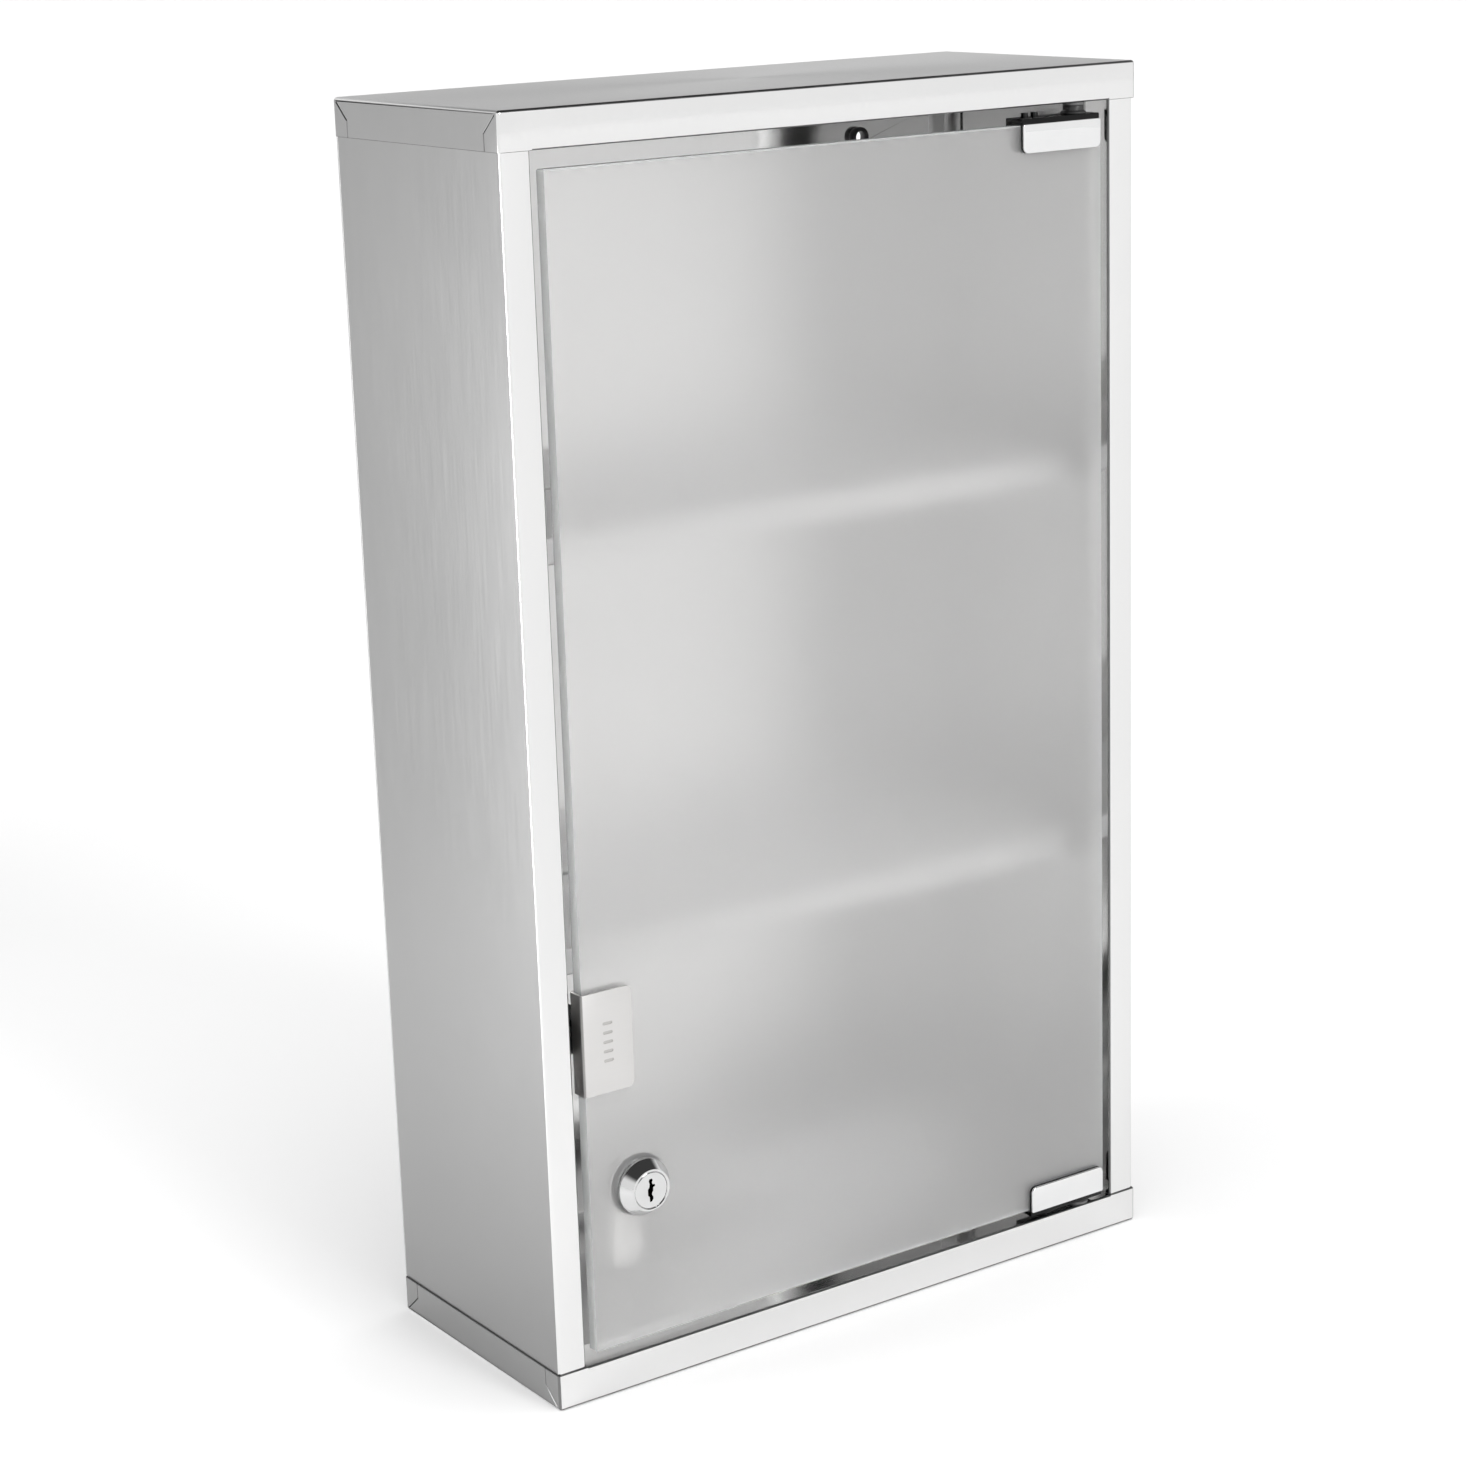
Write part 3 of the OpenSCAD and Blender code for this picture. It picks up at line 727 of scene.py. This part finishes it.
def lock_housing():
    """Turned lock body with a stepped rim, a conical shoulder and a threaded barrel."""
    low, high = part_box("lock_housing")
    rim = (high.x - low.x) / 2
    face, seat, end = low.y, FRONT - 0.5 * MM, high.y
    shoulder = seat - 1.5 * MM
    profile = [(PLUG_BORE, face + 0.35 * MM), (PLUG_BORE + 0.3 * MM, face), (8.6 * MM, face),
               (8.8 * MM, face + 0.15 * MM), (rim - 0.35 * MM, shoulder - 0.1 * MM),
               (rim - 0.1 * MM, shoulder + 0.1 * MM), (rim, shoulder + 0.35 * MM),
               (rim, seat - 0.2 * MM), (rim - 0.2 * MM, seat), (BARREL, seat)]
    pitch, depth = 1.0 * MM, 0.35 * MM
    turns = int((end - seat - 1.5 * MM) / pitch)
    for i in range(turns):
        start = seat + 1.2 * MM + i * pitch
        profile += [(BARREL, start), (BARREL - depth, start + pitch / 2)]
    profile += [(BARREL, end - 0.4 * MM), (BARREL - 0.4 * MM, end), (PLUG_BORE, end)]
    body = lathe("lock_body", profile, LOCK)
    paint(body, LOCK_CHROME)
    return piece(body, "door", "bright_chrome", "lock_housing")


def lock_plug():
    """Turning plug: a bright face with a warded keyway, and the square end that drives the cam."""
    low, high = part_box("lock_plug")
    face = low.y + 0.12 * MM
    end = high.y - 2.7 * MM
    profile = [(0, face), (PLUG - 0.3 * MM, face), (PLUG, face + 0.3 * MM), (PLUG, end), (0, end)]
    plug = lathe("lock_core", profile, LOCK)
    half = 3.5 * MM
    stub = block("square", (LOCK.x - half, end - MM, LOCK.z - half),
                 (LOCK.x + half, high.y, LOCK.z + half))
    widen = 1.2
    slot = [(-0.7, -3.9), (0.1, -3.9), (0.7, -3.1), (0.7, -2.2), (0.25, -1.7), (0.25, -0.9),
            (0.75, -0.3), (0.75, 0.9), (1.5, 1.2), (1.5, 1.9), (0.6, 2.0), (0.35, 2.8), (0.7, 3.5),
            (0.3, 4.1), (-0.6, 4.0), (-0.9, 3.2), (-0.6, 2.4), (-0.75, 1.2), (-1.35, 0.5),
            (-1.35, -1.6), (-0.75, -2.2)]
    outline = [(LOCK.x + widen * u * MM, LOCK.z + widen * v * MM) for u, v in slot]
    cut(plug, prism("keyway", outline, "y", face - MM, face + KEYWAY_DEPTH))
    join(plug, stub)

    def inside_keyway(p):
        near_axis = (p.center - LOCK).xz.length < KEYWAY_REACH
        behind_face = face + 0.05 * MM < p.center.y < end - 2 * MM
        return 1 if near_axis and behind_face else 0

    # The keyway's inside is painted black: painted shade in the recess.
    paint(plug, LOCK_CHROME, BLACK_METAL, where=inside_keyway)
    return piece(plug, "lock", "bright_chrome", "lock_plug")


def latch():
    """Push latch: housing with a ribbed side and a collar, its plunger and its spring."""
    low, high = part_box("latch_housing")
    axis = (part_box("latch_magnet")[0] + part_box("latch_magnet")[1]) / 2
    points = [(low.x, low.z), (high.x, low.z), (high.x, high.z), (low.x, high.z)]
    case = prism("latch_case", round_corners(points, 1.5 * MM), "y", low.y + 1.5 * MM, high.y)
    ring = [(LATCH_BORE, low.y), (6.2 * MM, low.y), (6.8 * MM, low.y + 0.6 * MM),
            (6.8 * MM, low.y + 3 * MM), (LATCH_BORE, low.y + 3 * MM)]
    collar = lathe("collar", ring, axis, steps=64)
    bore_end = high.y - 4 * MM
    hole = [(0, low.y), (LATCH_BORE, low.y), (LATCH_BORE, bore_end), (0, bore_end)]
    cut(case, lathe("hole", hole, axis, steps=64))
    grooves = [block("groove", (high.x - 0.5 * MM, low.y + (9 + 4 * i) * MM, low.z + 2 * MM),
                     (high.x + MM, low.y + (10.5 + 4 * i) * MM, high.z - 2 * MM))
               for i in range(7)]
    cut(case, *grooves)
    soften(case, 0.3 * MM)
    join(case, collar)
    paint(case, BLACK_PLASTIC)
    piece(case, "cabinet", "black_plastic", "latch_housing")
    coil_spring(axis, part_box("latch_spring"))
    carry("latch_bracket", ZINC, 0.15 * MM)
    carry("latch_screws", ZINC, 0.12 * MM)
    carry("latch_plunger", BLACK_PLASTIC, 0.3 * MM)
    carry("latch_magnet", FERRITE, 0.15 * MM)


def coil_spring(axis, box):
    """Round-wire spring in the closed end of the latch; here it keeps one length, though the real
    one shortens as the plunger goes in.
    """
    low, high = box
    wire, radius = 0.35 * MM, 3.1 * MM
    turns, steps, sides = 5, 32, 10
    bm = bmesh.new()
    rings = []
    count = turns * steps
    for i in range(count + 1):
        angle = 2 * math.pi * i / steps
        y = low.y + wire + (high.y - low.y - 2 * wire) * i / count
        ring = []
        for k in range(sides):
            round_wire = 2 * math.pi * k / sides
            out = radius + wire * math.cos(round_wire)
            x = axis.x + out * math.cos(angle)
            z = axis.z + out * math.sin(angle)
            ring.append(bm.verts.new((x, y + wire * math.sin(round_wire), z)))
        rings.append(ring)
    for a, b in zip(rings, rings[1:]):
        for k in range(sides):
            m = (k + 1) % sides
            bm.faces.new((a[k], a[m], b[m], b[k]))
    bm.faces.new(rings[0][::-1])
    bm.faces.new(rings[-1])
    spring = new_object("latch_coil", bm)
    paint(spring, SPRING_STEEL)
    piece(spring, "cabinet", "spring_steel", "latch_spring")
    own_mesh(spring)


cap("top_cap_sheet", "top_cap", False)
cap("bottom_cap_sheet", "bottom_cap", True)
side_panel("left_side_sheet", "left_side_panel", -1)
side_panel("right_side_sheet", "right_side_panel", 1)
back_panel()
shelf("upper_shelf")
shelf("lower_shelf")
glass_door()
hinge("top", True)
hinge("bottom", False)
push_plate()
lock_housing()
lock_plug()
latch()

carry("shelf_supports", ZINC, 0.15 * MM)
carry("hole_grommets", BLACK_PLASTIC, 0.25 * MM)
carry("hinge_set_screws", BLACK_METAL, 0.2 * MM)
carry("push_plate_pad", RUBBER)
carry("lock_gasket", RUBBER)
carry("lock_washer", CAM_STEEL, 0.2 * MM)
carry("lock_nut", CAM_STEEL, 0.35 * MM)
carry("lock_wafers", BRASS)
carry("lock_cam", CAM_STEEL, 0.25 * MM)
carry("cam_screw", ZINC, 0.25 * MM)


# ---------------------------------------------------------------- stage

def floor():
    """Plain pale floor under the cabinet."""
    ground = bpy.data.meshes.new("floor")
    reach, z = 40.0, cad_low.z
    corners = [(-reach, -reach, z), (reach, -reach, z), (reach, reach, z), (-reach, reach, z)]
    ground.from_pydata(corners, [], [(0, 1, 2, 3)])
    obj = bpy.data.objects.new("floor", ground)
    bpy.context.scene.collection.objects.link(obj)
    m = Shader("pale_floor", Specular_IOR_Level=0.1)
    cloud = m.noise(0.8, detail=2)
    m.colours(cloud, shade(0.86), shade(0.90))
    m.rough(m.span(cloud, 0.75, 0.85))
    ground.materials.append(m.material)


def surroundings():
    """Plain surroundings: white all round, dim overhead."""
    world = bpy.data.worlds.new("studio")
    world.use_nodes = True
    tree = world.node_tree
    where = tree.nodes.new("ShaderNodeTexCoord")
    height = tree.nodes.new("ShaderNodeSeparateXYZ")
    level = tree.nodes.new("ShaderNodeMapRange")
    level.interpolation_type = "SMOOTHSTEP"
    fade = {"From Min": 0.36, "From Max": 0.66, "To Min": 1.0, "To Max": 0.06}
    for key, number in fade.items():
        level.inputs[key].default_value = number
    tree.links.new(where.outputs["Generated"], height.inputs["Vector"])
    tree.links.new(height.outputs["Z"], level.inputs["Value"])
    tree.links.new(level.outputs["Result"], tree.nodes["Background"].inputs["Strength"])
    tree.nodes["Background"].inputs["Color"].default_value = (1, 1, 1, 1)
    bpy.context.scene.world = world


def soft_sun(name, direction, strength, softness, shines):
    """An even light, softness degrees wide. If it shines, polished metal mirrors it."""
    data = bpy.data.lights.new(name, "SUN")
    data.energy = strength
    data.angle = math.radians(softness)
    obj = bpy.data.objects.new(name, data)
    obj.rotation_mode = "QUATERNION"
    obj.rotation_quaternion = Vector(direction).to_track_quat("Z", "Y")
    obj.visible_glossy = shines
    bpy.context.scene.collection.objects.link(obj)


def soft_box(name, place, away, width, height, power):
    """A plain lit rectangle; away is the direction from what it lights to the box."""
    data = bpy.data.lights.new(name, "AREA")
    data.shape = "RECTANGLE"
    data.size, data.size_y = width, height
    data.energy = power
    obj = bpy.data.objects.new(name, data)
    obj.location = place
    obj.visible_camera = False
    obj.rotation_mode = "QUATERNION"
    obj.rotation_quaternion = Vector(away).to_track_quat("Z", "Y")
    bpy.context.scene.collection.objects.link(obj)


def studio():
    """Even light from overhead, a key from the front and a tall soft box on the left."""
    soft_sun("overhead", (0.1, -0.2, 1), 2.35, 70, False)
    soft_sun("key", (0.15, -1, 0.45), 1.3, 22, True)
    soft_box("side_box", (-0.8, 0.16, -0.13), (-0.65, 0.22, 0.02), 0.3, 0.62, 4.4)


CAMERA_PLACE = (-0.7564, -1.1383, 0.3365)
CAMERA_TURN = (75.0273, 1.7643, -35.0307)  # degrees about X, Y and Z
CAMERA_LENS = 80.52                      # millimetres, for a 36 mm sensor


def camera():
    data = bpy.data.cameras.new("camera")
    data.lens = CAMERA_LENS
    data.sensor_width = 36
    data.dof.use_dof = False
    obj = bpy.data.objects.new("camera", data)
    obj.location = CAMERA_PLACE
    obj.rotation_euler = [math.radians(a) for a in CAMERA_TURN]
    bpy.context.scene.collection.objects.link(obj)
    bpy.context.scene.camera = obj


def picture():
    """Colour handling, and a denoiser for the light that scatters through the frosted glass."""
    scene = bpy.context.scene
    scene.view_settings.view_transform = "Standard"
    scene.view_settings.look = "None"
    scene.cycles.use_denoising = True
    scene.cycles.transmission_bounces = 16
    scene.cycles.glossy_bounces = 8
    scene.cycles.max_bounces = 20


floor()
surroundings()
studio()
camera()
picture()
